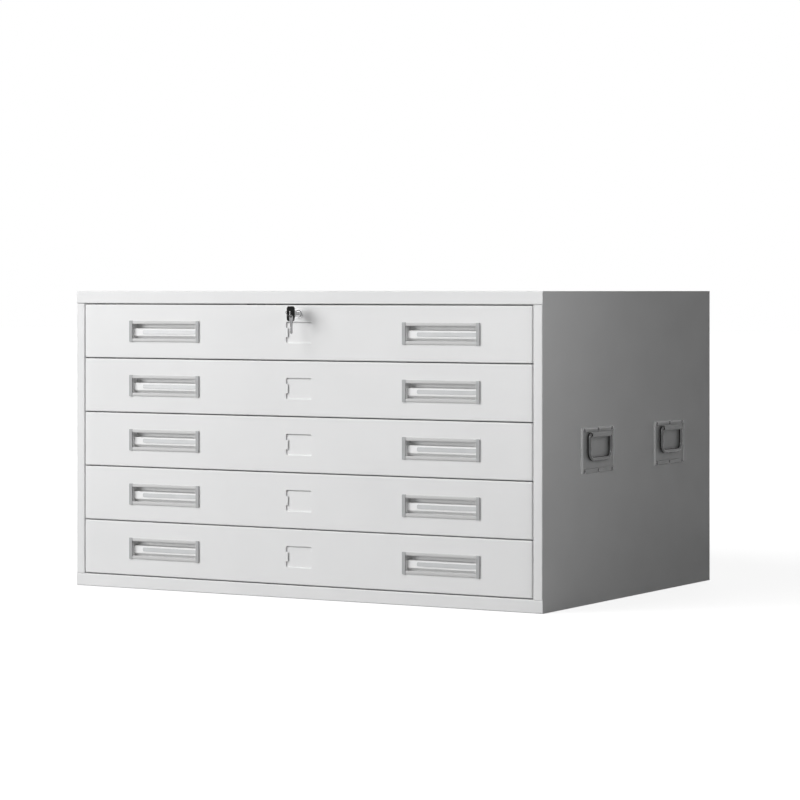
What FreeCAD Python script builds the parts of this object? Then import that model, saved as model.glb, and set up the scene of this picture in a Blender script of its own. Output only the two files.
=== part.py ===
import FreeCAD, Part

import math
import os

from FreeCAD import Vector

# Five-drawer steel plan chest. Millimetres, +Z up, the front faces -Y.
# The origin is the middle of the carcass at its underside.

# Carcass, folded from sheet
width = 1000.0
depth = 700.0
height = 560.0
sheet = 1.0
bend_radius = 1.0
seam = 0.3
rear_flange = 20.0
weld_flange = 14.0

# Front frame, and the drawer fronts that close flush with it
drawer_count = 5
stile_face = 18.5
rail_face = 23.5
reveal = 2.0
frame_return = 20.0
frame_lip = 8.0

# Posts that carry the runners
post_width = 30.0
post_foot = 12.0
post_sheet = 1.2
post_margin = 85.0
post_clearance = 0.5

# Telescopic runners, three nested members on each side of a drawer
runner_height = 36.0
runner_depth = 12.7
runner_sheet = 1.2
runner_play = 0.3
runner_recess = 1.3
runner_lip = 4.2
runner_length = 640.0
runner_standoff = 1.0
runner_lift = 30.0

# Drawer fronts and trays
front_depth = 20.0
front_sheet = 1.0
front_edge_radius = 1.5
tray_sheet = 1.0
tray_lift = 8.0
tray_height = 64.0
tray_hem = 6.0
tray_length = 646.0

# Label pocket stamped into each drawer front
pocket_width = 56.0
pocket_height = 39.5
pocket_depth = 2.0
pocket_radius = 4.0
tab_height = 17.0
tab_reach = 4.5
tab_sheet = 0.8

# Recessed pulls, two in each drawer front
pull_offset = 297.5
pull_width = 158.0
pull_height = 39.0
pull_wall = 1.5
pull_proud = 1.5
pull_lip = 6.0
pull_lip_thickness = 4.0
pull_finger_gap = 8.0
pull_finger_depth = 14.5
pull_ledge_height = 14.2
pull_ledge_depth = 4.0
pull_groove_depth = 9.0
pull_flange = 2.2
pull_play = 0.3
pull_hollow_radius = 3.0
cap_width = 7.0
cap_proud = 2.2
cap_overhang = 0.5
cap_wall = 2.5
strip_height = 7.5
strip_thickness = 0.8
strip_drop = 3.0
strip_inset = 21.0
strip_cut = 2.5

# Cam lock in the top drawer
lock_drop = 15.5
barrel_radius = 8.0
lock_flange_radius = 9.5
lock_flange = 1.2
lock_hole_play = 0.2
nut_flats = 21.0
nut_thickness = 3.0
plug_radius = 5.5
plug_play = 0.05
plug_proud = 0.6
cam_width = 14.0
cam_reach = 27.0
cam_thickness = 1.6
cam_gap = 0.3
cam_square = 5.0
cam_screw_radius = 4.5
cam_screw = 1.5

# Keys: one in the lock, and a small spare that hangs from a ring
blade_thickness = 2.0
blade_height = 6.5
blade_depth = 15.0
blade_play = 0.1
blade_tip = 2.0
neck_height = 12.0
neck_length = 3.5
tang_length = 7.0
key_standoff = 15.0
key_head_length = 24.0
key_head_height = 27.0
key_head_thickness = 2.6
key_head_radius = 5.0
key_rim = 6.0
key_slot_width = 5.6
key_slot_height = 9.0
key_slot_lift = 1.0
ring_radius = 7.0
ring_wire = 0.5
ring_drop = 2.5
ring_lean = 45.0
ring_sides = 24
spare_thickness = 1.8
spare_head_width = 8.4
spare_head_straight = 7.5
spare_head_height = 14.5
spare_head_radius = 3.5
spare_eye_margin = 2.8
spare_eye_radius = 1.7
spare_blade_width = 4.6
spare_tip = 1.5
spare_length = 33.5

# Lift handles, two on each side
handle_width = 130.0
handle_height = 81.0
handle_sheet = 1.5
handle_edge = 4.0
handle_raise = 1.2
handle_bevel = 0.6
handle_first = 212.0
handle_spacing = 300.0
handle_middle = 275.5
bail_wire = 3.5
bail_sides = 12
bail_width = 91.0
bail_height = 50.5
bail_top_radius = 5.0
bail_bottom_radius = 14.0
bail_bends = 4
bail_margin = 12.7
bail_play = 0.3
strap_sheet = 1.2
strap_cut = 1.6
strap_play = 0.5
strap_gap = 0.2
rivet_radius = 3.0
rivet_head = 1.4
rivet_sides = 12
rivet_inset = 10.0

# Places and sizes that follow from the ones above
front_plane = -depth / 2
rear_plane = depth / 2
side_plane = width / 2
opening_half = side_plane - stile_face
pitch = (height - 2 * rail_face - reveal) / drawer_count
front_height = pitch - reveal
front_half_width = opening_half - reveal
front_back = front_plane + front_depth
runner_post_face = opening_half - post_clearance
tray_half_width = runner_post_face - runner_depth
runner_front = front_back + runner_standoff
pull_top = pull_height / 2
pull_body = pull_top - pull_flange
ledge_top = pull_top - pull_lip - pull_finger_gap
ledge_bottom = ledge_top - pull_ledge_height
channel_half = pull_width / 2 - cap_width
lock_level = height - rail_face - reveal - lock_drop
barrel_back = front_back + nut_thickness
plug_face = front_plane - lock_flange - plug_proud
head_front = key_standoff + key_head_length
bail_plane = side_plane + handle_sheet + bail_play + bail_wire
bail_axis = handle_middle + handle_height / 2 - bail_margin
strap_reach = bail_wire + bail_play + strap_sheet
handle_band = bail_margin - strap_reach - strap_gap


def drawers():
    return range(1, drawer_count + 1)


def front_bottom(drawer):
    """Lower edge of a drawer front; drawer 1 is the top one."""
    return height - rail_face - drawer * pitch


def front_middle(drawer):
    return front_bottom(drawer) + front_height / 2


def in_plan(a, b):
    return Vector(a, b, 0)


def in_side_view(a, b):
    return Vector(0, a, b)


def in_front_view(a, b):
    return Vector(a, 0, b)


RUN = {in_plan: Vector(0, 0, 1), in_side_view: Vector(1, 0, 0), in_front_view: Vector(0, 1, 0)}


def box(low, high):
    return Part.makeBox(high[0] - low[0], high[1] - low[1], high[2] - low[2], Vector(*low))


def joined(shapes):
    """One solid from shapes that touch or overlap."""
    return shapes[0].fuse(shapes[1:]).removeSplitter()


def mirrored(shape, place=0):
    """The same shape on the other side of the plane x = place."""
    return shape.mirror(Vector(place, 0, 0), Vector(1, 0, 0))


def both_sides(shape):
    return [shape, mirrored(shape)]


def corner_arc(before, corner, after, radius):
    """Start, middle and end of the arc that rounds one corner."""
    into = Vector(corner - before).normalize()
    out = Vector(after - corner).normalize()
    half_turn = into.getAngle(out) / 2
    reach = radius * math.tan(half_turn)
    inward = Vector(out - into).normalize()
    middle = corner + inward * (radius / math.cos(half_turn) - radius)
    return corner - into * reach, middle, corner + out * reach


def prism(view, outline, radii, start, end):
    """Solid with an outline drawn in one view, a radius at each of its corners,
    run square to that view from start to end."""
    corners = [view(a, b) for a, b in outline]
    count = len(corners)
    stops = [
        corner_arc(corners[i - 1], corners[i], corners[(i + 1) % count], radii[i])
        if radii[i] > 0 else (corners[i],) * 3
        for i in range(count)
    ]
    edges = []
    for i, (first, middle, last) in enumerate(stops):
        if radii[i] > 0:
            edges.append(Part.Arc(first, middle, last).toShape())
        edges.append(Part.LineSegment(last, stops[(i + 1) % count][0]).toShape())
    solid = Part.Face(Part.Wire(edges)).extrude(RUN[view] * (end - start))
    solid.translate(RUN[view] * start)
    return solid


def plain_prism(view, outline, start, end):
    return prism(view, outline, [0] * len(outline), start, end)


def block(view, low, high, radius, start, end):
    """Prism on a rectangle with four equal corner radii."""
    outline = [(low[0], low[1]), (high[0], low[1]), (high[0], high[1]), (low[0], high[1])]
    return prism(view, outline, [radius] * 4, start, end)


def regular(radius, sides, a=0.0, b=0.0):
    """Corners of a regular polygon round the point (a, b)."""
    turns = [2 * math.pi * i / sides for i in range(sides)]
    return [(a + radius * math.cos(turn), b + radius * math.sin(turn)) for turn in turns]


def bent_sheet(view, path, thickness, radius, start, end):
    """Sheet bent at right angles. The path is its outer face, and its thickness
    lies to the left of the path's direction."""
    steps = []
    for (a0, b0), (a1, b1) in zip(path, path[1:]):
        length = math.hypot(a1 - a0, b1 - b0)
        steps.append(((a1 - a0) / length, (b1 - b0) / length))
    lefts = [(-down, along) for along, down in steps]
    shifts = [lefts[0]]
    outer_radii = []
    inner_radii = []
    wide = radius + thickness if radius > 0 else 0
    for i in range(1, len(steps)):
        shifts.append((lefts[i - 1][0] + lefts[i][0], lefts[i - 1][1] + lefts[i][1]))
        turns_left = steps[i - 1][0] * steps[i][1] > steps[i - 1][1] * steps[i][0]
        outer_radii.append(wide if turns_left else radius)
        inner_radii.append(radius if turns_left else wide)
    shifts.append(lefts[-1])
    inner = [(a + thickness * da, b + thickness * db) for (a, b), (da, db) in zip(path, shifts)]
    radii = [0] + outer_radii + [0, 0] + inner_radii[::-1] + [0]
    return prism(view, path + inner[::-1], radii, start, end)


def round_bar(radius, start, end):
    """Cylinder between two points."""
    return Part.makeCylinder(radius, (end - start).Length, start, end - start)


def along_y(radius, start, end, x=0.0, z=0.0):
    return round_bar(radius, Vector(x, start, z), Vector(x, end, z))


# Carcass

def side_panel():
    """Right wall with its folded stile and rear flange, and the weld flanges that
    lie under the top and over the bottom."""
    stile_path = [
        (opening_half, front_plane + frame_return),
        (opening_half, front_plane),
        (side_plane, front_plane),
        (side_plane, rear_plane),
        (side_plane - rear_flange, rear_plane),
    ]
    wall_path = [(side_plane, front_plane + sheet + seam)] + stile_path[3:]
    stile = bent_sheet(in_plan, stile_path, sheet, bend_radius,
                       rail_face + seam, height - rail_face - seam)
    wall = bent_sheet(in_plan, wall_path, sheet, bend_radius, sheet, height - sheet)
    inside = side_plane - sheet
    flanges = [
        box((inside - weld_flange, front_plane + frame_return + sheet, z),
            (inside, rear_plane - 2 * sheet - seam, z + sheet))
        for z in (sheet, height - 2 * sheet)
    ]
    return joined([wall, stile] + flanges)


def top_panel():
    """Top sheet with its folded front rail and rear flange, notched at both ends
    to clear the side panels."""
    path = [
        (rear_plane, height - rear_flange),
        (rear_plane, height),
        (front_plane, height),
        (front_plane, height - rail_face),
        (front_plane + frame_return, height - rail_face),
        (front_plane + frame_return, height - rail_face + frame_lip),
    ]
    panel = bent_sheet(in_side_view, path, sheet, bend_radius, -side_plane, side_plane)
    low = height - rail_face - sheet
    wall_notch = box((side_plane - sheet - seam, front_plane + sheet, low),
                     (side_plane + sheet, rear_plane + sheet, height - sheet))
    flange_notch = box((side_plane - rear_flange - seam, rear_plane - 2 * sheet, low),
                       (side_plane + sheet, rear_plane + sheet, height - sheet))
    for notch in (wall_notch, flange_notch):
        panel = panel.cut(notch).cut(mirrored(notch))
    return panel


def bottom_panel():
    return top_panel().mirror(Vector(0, 0, height / 2), Vector(0, 0, 1))


def back_panel():
    """Flat sheet against the inside of the flanges, clear of their bends."""
    edge = sheet + bend_radius
    return box((edge - side_plane, rear_plane - 2 * sheet, edge),
               (side_plane - edge, rear_plane - sheet, height - edge))


def runner_post(y):
    """Hat-section post on the right wall, its crown towards the drawers."""
    wall = side_plane - sheet
    crown = runner_post_face + post_sheet
    path = [
        (wall, y - post_width / 2 - post_foot),
        (wall, y - post_width / 2),
        (crown, y - post_width / 2),
        (crown, y + post_width / 2),
        (wall, y + post_width / 2),
        (wall, y + post_width / 2 + post_foot),
    ]
    end = 2 * sheet + seam
    return bent_sheet(in_plan, path, post_sheet, 0, end, height - end)


def runner_posts():
    places = (front_plane + post_margin, rear_plane - post_margin)
    return [post for y in places for post in both_sides(runner_post(y))]


# Runners

def runner_member(half_path, drawer):
    """Member of the right runner, from the lower half of its section. That half
    is given as (distance from the post, height above the middle)."""
    level = front_bottom(drawer) + tray_lift + runner_lift
    whole = half_path + [(u, -v) for u, v in half_path[::-1]]
    path = [(runner_post_face - u, level + v) for u, v in whole]
    return bent_sheet(in_front_view, path, runner_sheet, 0,
                      runner_front, runner_front + runner_length)


def outer_runner(drawer):
    """Lipped channel, fixed to the posts."""
    top = runner_height / 2
    reach = runner_depth - runner_recess
    return runner_member([(reach, runner_lip - top), (reach, -top), (0, -top)], drawer)


def middle_runner(drawer):
    """Lipped channel that slides inside the outer one."""
    inset = runner_sheet + runner_play
    top = runner_height / 2 - inset
    reach = runner_depth - runner_recess - inset
    lip = runner_height / 2 - runner_lip - inset
    return runner_member([(reach, -lip), (reach, -top), (inset, -top)], drawer)


def inner_runner(drawer):
    """Hat section on the tray's side, its feet held behind the middle lips."""
    inset = runner_sheet + runner_play
    foot_back = runner_depth - runner_recess - 2 * inset - runner_sheet
    foot_tip = runner_height / 2 - 2 * inset
    leg = runner_height / 2 - runner_lip - inset - runner_play - runner_sheet
    crown = runner_depth - runner_sheet
    return runner_member([(foot_back, -foot_tip), (foot_back, -leg), (crown, -leg)], drawer)


# Drawers

def pull_cutout(x, drawer):
    """Opening for one pull through a drawer front."""
    reach = channel_half + cap_wall + pull_play
    up = pull_body + pull_play
    z = front_middle(drawer)
    return box((x - reach, front_plane - front_sheet, z - up),
               (x + reach, front_plane + 2 * front_sheet, z + up))


def label_pocket(z):
    """Pan of the label pocket, its hollow, and the two tabs that hold a card."""
    across = pocket_width / 2
    up = pocket_height / 2
    pan = box((-across - front_sheet, front_plane, z - up - front_sheet),
              (across + front_sheet, front_plane + pocket_depth + front_sheet,
               z + up + front_sheet))
    hollow = block(in_front_view, (-across, z - up), (across, z + up), pocket_radius,
                   front_plane - front_sheet, front_plane + pocket_depth)
    tab = box((across - tab_reach, front_plane, z - tab_height / 2),
              (across + front_sheet, front_plane + tab_sheet, z + tab_height / 2))
    return pan, hollow, both_sides(tab)


def drawer_front(drawer):
    """Shallow steel pan with rounded front edges, two pull openings and a stamped
    label pocket; the top drawer's has the lock hole too."""
    low = front_bottom(drawer)
    shell = box((-front_half_width, front_plane, low),
                (front_half_width, front_back, low + front_height))
    rim = [e for e in shell.Edges if e.BoundBox.YMax < front_plane + front_sheet]
    shell = shell.makeFillet(front_edge_radius, rim)
    shell = shell.cut(box((front_sheet - front_half_width, front_plane + front_sheet,
                           low + front_sheet),
                          (front_half_width - front_sheet, front_back + front_sheet,
                           low + front_height - front_sheet)))
    pan, hollow, tabs = label_pocket(low + front_height / 2)
    front = joined([shell, pan]).cut(hollow)
    front = joined([front] + tabs)
    for x in (-pull_offset, pull_offset):
        front = front.cut(pull_cutout(x, drawer))
    if drawer == 1:
        front = front.cut(lock_hole())
    return front


def drawer_tray(drawer):
    """Open tray with hemmed sides and back, welded to the plate that closes the
    back of the drawer front."""
    low = front_bottom(drawer)
    bottom = low + tray_lift
    start = front_back - tray_sheet
    end = start + tray_length
    outside = box((-tray_half_width, start, bottom), (tray_half_width, end, bottom + tray_height))
    inside = box((tray_sheet - tray_half_width, front_back, bottom + tray_sheet),
                 (tray_half_width - tray_sheet, end - tray_sheet, bottom + tray_height - tray_sheet))
    mouth = box((tray_hem - tray_half_width, front_back, bottom + tray_sheet),
                (tray_half_width - tray_hem, end - tray_hem, bottom + tray_height + tray_sheet))
    reach = front_half_width - front_sheet - seam
    plate = box((-reach, start, low + front_sheet + seam),
                (reach, front_back, low + front_height - front_sheet - seam))
    tray = joined([outside.cut(inside).cut(mouth), plate])
    if drawer == 1:
        tray = tray.cut(lock_hole())
    return tray


def pull_channel(x, drawer):
    """Extruded channel of one pull: from the top a hooked lip, the finger hollow,
    the raised ledge for the label, a groove and the lower lip."""
    z = front_middle(drawer)
    face = -pull_proud
    lip = pull_top - pull_lip
    lip_back = pull_lip_thickness - pull_proud
    ceiling = pull_body - pull_wall
    ledge_back = pull_ledge_depth + pull_wall
    hollow_back = pull_finger_depth + pull_wall
    groove_back = pull_groove_depth + pull_wall
    section = [
        (face, pull_top, 0), (face, lip, 0), (lip_back, lip, 0), (lip_back, ceiling, 0),
        (pull_finger_depth, ceiling, pull_hollow_radius),
        (pull_finger_depth, ledge_top, pull_hollow_radius),
        (pull_ledge_depth, ledge_top, 0), (pull_ledge_depth, ledge_bottom, 0),
        (pull_groove_depth, ledge_bottom, 0), (pull_groove_depth, -ceiling, 0),
        (lip_back, -ceiling, 0), (lip_back, -lip, 0), (face, -lip, 0), (face, -pull_top, 0),
        (0, -pull_top, 0), (0, -pull_body, 0), (groove_back, -pull_body, 0),
        (groove_back, ledge_bottom + pull_wall, 0), (ledge_back, ledge_bottom + pull_wall, 0),
        (ledge_back, ledge_top - pull_wall, 0), (hollow_back, ledge_top - pull_wall, 0),
        (hollow_back, pull_body, 0), (0, pull_body, 0), (0, pull_top, 0),
    ]
    outline = [(front_plane + y, z + up) for y, up, _ in section]
    return prism(in_side_view, outline, [r for _, _, r in section],
                 x - channel_half, x + channel_half)


def pull_cap(x, drawer):
    """Moulded end of one pull: a face plate over the cut edge of the front and the
    wall that closes the channel. This one is the right-hand end."""
    z = front_middle(drawer)
    up = pull_top + cap_overhang
    inner = x + channel_half
    outer = inner + cap_width
    plate = box((inner, front_plane - cap_proud, z - up), (outer, front_plane, z + up))
    wall = box((inner, front_plane, z - pull_body),
               (inner + cap_wall, front_plane + pull_finger_depth + pull_wall, z + pull_body))
    return joined([plate, wall])


def label_strip(x, drawer):
    """Clear strip on the ledge, its left corners cut; it stops short of the left
    cap so that a label can be drawn out."""
    top = front_middle(drawer) + ledge_top - strip_drop
    low = top - strip_height
    left = x - channel_half + strip_inset
    right = x + channel_half
    outline = [(left + strip_cut, low), (right, low), (right, top), (left + strip_cut, top),
               (left, top - strip_cut), (left, low + strip_cut)]
    rear = front_plane + pull_ledge_depth
    return plain_prism(in_front_view, outline, rear - strip_thickness, rear)


def at_both_pulls(make, drawer):
    return [make(x, drawer) for x in (-pull_offset, pull_offset)]


def pull_caps(drawer):
    caps = []
    for x in (-pull_offset, pull_offset):
        cap = pull_cap(x, drawer)
        caps += [cap, mirrored(cap, x)]
    return caps


# Lock

def lock_hole():
    return along_y(barrel_radius + lock_hole_play, front_plane - front_sheet,
                   front_back + tray_sheet, z=lock_level)


def lock_barrel():
    """Flanged barrel with a bore for the plug."""
    flange = along_y(lock_flange_radius, front_plane - lock_flange, front_plane, z=lock_level)
    barrel = along_y(barrel_radius, front_plane - lock_flange, barrel_back, z=lock_level)
    bore = along_y(plug_radius + plug_play, plug_face, barrel_back + sheet, z=lock_level)
    return joined([flange, barrel]).cut(bore)


def lock_nut():
    """Hexagon nut that clamps the barrel behind the tray's front plate."""
    outline = regular(nut_flats / 2 / math.cos(math.pi / 6), 6, b=lock_level)
    nut = plain_prism(in_front_view, outline, front_back, barrel_back)
    return nut.cut(along_y(barrel_radius + plug_play, front_back - sheet, barrel_back + sheet,
                           z=lock_level))


def lock_plug():
    """Turning plug with the key slot, the square that drives the cam and the head
    of the cam screw."""
    cam_front = barrel_back + cam_gap
    cam_rear = cam_front + cam_thickness
    body = along_y(plug_radius, plug_face, cam_front, z=lock_level)
    half = cam_square / 2
    square = box((-half, cam_front, lock_level - half), (half, cam_rear, lock_level + half))
    screw = along_y(cam_screw_radius, cam_rear, cam_rear + cam_screw, z=lock_level)
    across = blade_thickness / 2 + blade_play
    up = blade_height / 2 + blade_play
    slot = box((-across, plug_face - sheet, lock_level - up),
               (across, front_plane + blade_depth + blade_play, lock_level + up))
    return joined([body, square, screw]).cut(slot)


def lock_cam():
    """Flat cam that points left when the drawer is free and up when it is locked."""
    start = barrel_back + cam_gap
    half = cam_width / 2
    hub = 2 * half * math.tan(math.pi / 8)
    outline = [
        (-cam_reach, lock_level - half), (hub / 2, lock_level - half),
        (half, lock_level - hub / 2), (half, lock_level + hub / 2),
        (hub / 2, lock_level + half), (-cam_reach, lock_level + half),
    ]
    cam = plain_prism(in_front_view, outline, start, start + cam_thickness)
    hole = cam_square / 2 + plug_play
    return cam.cut(box((-hole, start - sheet, lock_level - hole),
                       (hole, start + cam_thickness + sheet, lock_level + hole)))


def forward(distance):
    """Y of a point so far in front of the drawer fronts."""
    return front_plane - distance


def key_blade():
    """Metal key: bitted blade in the plug, neck, and the tang inside its head."""
    half = blade_height / 2
    neck = neck_height / 2
    rear = forward(-blade_depth)
    shoulder = forward(key_standoff - neck_length)
    end = forward(key_standoff + tang_length)
    profile = [
        (rear, 0), (rear - blade_tip, -half), (shoulder, -half), (shoulder, -neck),
        (end, -neck), (end, neck), (shoulder, neck), (shoulder, half), (rear - blade_tip, half),
    ]
    outline = [(y, lock_level + up) for y, up in profile]
    return plain_prism(in_side_view, outline, -blade_thickness / 2, blade_thickness / 2)


def key_head():
    """Moulded head over the tang, with a slot for the split ring."""
    near = forward(key_standoff)
    far = forward(head_front)
    up = key_head_height / 2
    thick = key_head_thickness / 2
    head = block(in_side_view, (far, lock_level - up), (near, lock_level + up),
                 key_head_radius, -thick, thick)
    slot_front = far + key_rim
    slot_up = key_slot_height / 2
    slot_level = lock_level + key_slot_lift
    slot = box((-thick - sheet, slot_front, slot_level - slot_up),
               (thick + sheet, slot_front + key_slot_width, slot_level + slot_up))
    return head.cut(slot).cut(key_blade())


def ring_places():
    """Centre of the split ring, and the lowest point of its wire, where the spare
    hangs. The ring passes through the slot and round the front of the head, leaning
    to one side so that the head can turn inside it."""
    rim = Vector(0, forward(head_front - key_rim / 2), lock_level + key_slot_lift)
    lean = math.radians(ring_lean)
    hang = Vector(math.sin(lean), 0, -math.cos(lean))
    return rim + hang * ring_drop, rim + hang * (ring_drop + ring_radius)


def key_ring():
    """Split ring of square wire, closed as it looks from a step away."""
    centre, _ = ring_places()
    outer = plain_prism(in_side_view, regular(ring_radius + ring_wire, ring_sides),
                        -ring_wire, ring_wire)
    inner = plain_prism(in_side_view, regular(ring_radius - ring_wire, ring_sides),
                        -2 * ring_wire, 2 * ring_wire)
    ring = outer.cut(inner)
    ring.rotate(Vector(0, 0, 0), Vector(0, 1, 0), -ring_lean)
    ring.translate(centre)
    return ring


def spare_key():
    """Small flat key that hangs from the ring beside the head of the other."""
    _, eye = ring_places()
    top = eye.z + spare_eye_margin
    half = spare_head_width / 2
    blade = spare_blade_width / 2
    shoulder = top - spare_head_height
    tip = top - spare_length
    right = [
        (half, top, spare_head_radius), (half, top - spare_head_straight, 0),
        (blade, shoulder, 0), (blade, tip + spare_tip, 0), (0, tip, 0),
    ]
    left = [(-a, b, r) for a, b, r in right[-2::-1]]
    shape = right[::-1] + left[::-1]
    outline = [(eye.x + a, b) for a, b, _ in shape]
    start = eye.y - spare_thickness / 2
    key = prism(in_front_view, outline, [r for _, _, r in shape], start, start + spare_thickness)
    return key.cut(along_y(spare_eye_radius, start - sheet, start + spare_thickness + sheet,
                           x=eye.x, z=eye.z))


# Lift handles

def handle_centres():
    first = front_plane + handle_first
    return (first, first + handle_spacing)


def handle_plate(centre):
    """Pressed plate with a raised border, wider along its top and bottom."""
    across = handle_width / 2
    up = handle_height / 2
    face = side_plane + handle_sheet
    rim_face = face + handle_raise
    plate = box((side_plane, centre - across, handle_middle - up),
                (rim_face, centre + across, handle_middle + up))
    rim = [e for e in plate.Edges if e.BoundBox.XMin > face]
    plate = plate.makeChamfer(handle_bevel, rim)
    inner_across = across - handle_edge
    inner_up = up - handle_band
    return plate.cut(box((face, centre - inner_across, handle_middle - inner_up),
                         (rim_face + sheet, centre + inner_across, handle_middle + inner_up)))


def bail_points(centre):
    """Centre line of a bail: its four corners, each turned in equal short bends."""
    across = bail_width / 2 - bail_wire
    low = bail_axis - bail_height + 2 * bail_wire
    corners = [
        (across, low, bail_bottom_radius, 1.5), (across, bail_axis, bail_top_radius, 0),
        (-across, bail_axis, bail_top_radius, 0.5), (-across, low, bail_bottom_radius, 1),
    ]
    points = []
    for y, z, radius, quarter in corners:
        middle_y = centre + y - math.copysign(radius, y)
        middle_z = z + radius if z == low else z - radius
        for bend in range(bail_bends + 1):
            turn = math.pi * (quarter + bend / bail_bends / 2)
            points.append(Vector(bail_plane, middle_y + radius * math.cos(turn),
                                 middle_z + radius * math.sin(turn)))
    return points


def bail(centre):
    """Closed wire loop that hangs from its top bar."""
    points = bail_points(centre)
    start = (points[0] + points[-1]) / 2
    path = Part.makePolygon([start] + points + [start])
    ring = [Vector(bail_plane + a, start.y, start.z + b) for a, b in regular(bail_wire, bail_sides)]
    section = Part.makePolygon(ring + ring[:1])
    right_corners = 1
    return path.makePipeShell([section], True, False, right_corners)


def bail_strap(centre):
    """Strap over a bail's top bar, welded to the plate along both its edges."""
    reach = bail_width / 2 - bail_wire - bail_top_radius - strap_play
    bore = bail_wire + bail_play
    face = side_plane + handle_sheet
    inner_cut = strap_cut - strap_sheet * math.tan(math.pi / 8)

    def half(across, cut):
        crown = bail_plane + across
        return [(face, -across), (crown - cut, -across), (crown, cut - across)]

    outer = half(strap_reach, strap_cut)
    inner = half(bore, inner_cut)
    outline = outer + [(x, -z) for x, z in outer[::-1]] + [(x, -z) for x, z in inner] + inner[::-1]
    return plain_prism(in_front_view, [(x, bail_axis + z) for x, z in outline],
                       centre - reach, centre + reach)


def rivet(y, z):
    """Flat round head on the raised border."""
    face = side_plane + handle_sheet + handle_raise
    return plain_prism(in_side_view, regular(rivet_radius, rivet_sides, y, z),
                       face, face + rivet_head)


def rivets():
    """Six on each plate: at its corners and the middle of both bands."""
    across = handle_width / 2 - rivet_inset
    up = handle_height / 2 - handle_band / 2
    places = [(centre + y, handle_middle + z) for centre in handle_centres()
              for y in (-across, 0, across) for z in (-up, up)]
    return [solid for place in places for solid in both_sides(rivet(*place))]


# Files

def save(node, solids):
    shape = solids[0] if len(solids) == 1 else Part.makeCompound(solids)
    shape.exportStep(os.path.join("parts", node + ".step"))


os.makedirs("parts", exist_ok=True)

save("side_panel_right", [side_panel()])
save("side_panel_left", [mirrored(side_panel())])
save("top_panel", [top_panel()])
save("bottom_panel", [bottom_panel()])
save("back_panel", [back_panel()])
save("runner_posts", runner_posts())
save("outer_runners_right", [outer_runner(d) for d in drawers()])
save("outer_runners_left", [mirrored(outer_runner(d)) for d in drawers()])

for d in drawers():
    save(f"drawer_{d}_front", [drawer_front(d)])
    save(f"drawer_{d}_tray", [drawer_tray(d)])
    save(f"drawer_{d}_pulls", at_both_pulls(pull_channel, d))
    save(f"drawer_{d}_pull_caps", pull_caps(d))
    save(f"drawer_{d}_label_strips", at_both_pulls(label_strip, d))
    save(f"drawer_{d}_inner_runners", both_sides(inner_runner(d)))
    save(f"drawer_{d}_middle_runners", both_sides(middle_runner(d)))

save("lock_barrel", [lock_barrel()])
save("lock_nut", [lock_nut()])
save("lock_plug", [lock_plug()])
save("lock_cam", [lock_cam()])
save("key_blade", [key_blade()])
save("key_head", [key_head()])
save("key_ring", [key_ring()])
save("spare_key", [spare_key()])

for place, centre in zip(("front", "rear"), handle_centres()):
    save(f"bail_right_{place}", [bail(centre)])
    save(f"bail_left_{place}", [mirrored(bail(centre))])
plates = [handle_plate(centre) for centre in handle_centres()]
save("handle_plates_right", plates)
save("handle_plates_left", [mirrored(plate) for plate in plates])
save("bail_straps", [s for c in handle_centres() for s in both_sides(bail_strap(c))])
save("handle_rivets", rivets())
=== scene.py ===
# %% [markdown]
# # A low steel chest of wide drawers
#
# The object is a chest for flat sheets: a box folded from sheet steel, five shallow drawers that
# close flush with its frame, and two lift handles on each side. Everything has pale grey paint
# except the pulls, the lock, the keys, the runners and the handles.
#
# The engineering model holds every piece at its real size. It is loaded first. Plain folded
# sheet is right as it is and only needs a finish. Pressed, moulded, bent and turned pieces get
# finer surfaces here, worked out with formulas, in the same places.

import bmesh
import bpy
import numpy as np
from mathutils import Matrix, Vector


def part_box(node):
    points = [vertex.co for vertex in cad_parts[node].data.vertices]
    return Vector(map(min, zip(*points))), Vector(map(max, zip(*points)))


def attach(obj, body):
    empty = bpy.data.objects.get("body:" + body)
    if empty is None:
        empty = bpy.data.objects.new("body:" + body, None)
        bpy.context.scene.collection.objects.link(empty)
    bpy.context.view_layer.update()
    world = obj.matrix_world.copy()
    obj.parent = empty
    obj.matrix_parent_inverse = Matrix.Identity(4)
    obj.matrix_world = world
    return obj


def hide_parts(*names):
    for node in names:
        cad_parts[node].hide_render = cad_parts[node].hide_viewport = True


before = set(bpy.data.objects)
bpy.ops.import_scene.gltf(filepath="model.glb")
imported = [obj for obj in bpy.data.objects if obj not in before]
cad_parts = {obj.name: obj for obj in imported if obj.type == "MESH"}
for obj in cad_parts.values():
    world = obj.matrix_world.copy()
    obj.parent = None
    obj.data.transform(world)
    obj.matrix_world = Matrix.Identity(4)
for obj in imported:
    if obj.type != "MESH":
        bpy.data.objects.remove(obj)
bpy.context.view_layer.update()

# %% [markdown]
# ## Sizes
#
# Blender works in metres and a sheet-metal worker in millimetres. The shapes below are written
# in millimetres and turned into metres in one place, where a mesh is made. The few sizes that
# many pieces share are read from the frame, so a piece goes where the model has it.

# %% Sizes that the pieces share
MM = 0.001
DRAWERS = range(1, 6)


def corners(node):
    """Lowest and highest corner of a node in millimetres, as two arrays."""
    low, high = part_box(node)
    return np.array(low) / MM, np.array(high) / MM


FACE = corners("drawer_1_front")[0][1]
SIDE = corners("side_panel_right")[1][0]
print("drawer fronts at y", FACE, "side walls at x", SIDE)

# %% [markdown]
# ## From arrays to meshes
#
# A surface here is a grid of points: one index runs along the shape, the other across it. The
# quads between neighbouring points are found with index arithmetic on whole arrays. Where a
# shape closes on itself, the last row is joined to the first. Points and faces together are
# called a shell below, and a piece may have several.

# %% Faces of a grid, and one shell from several


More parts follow.
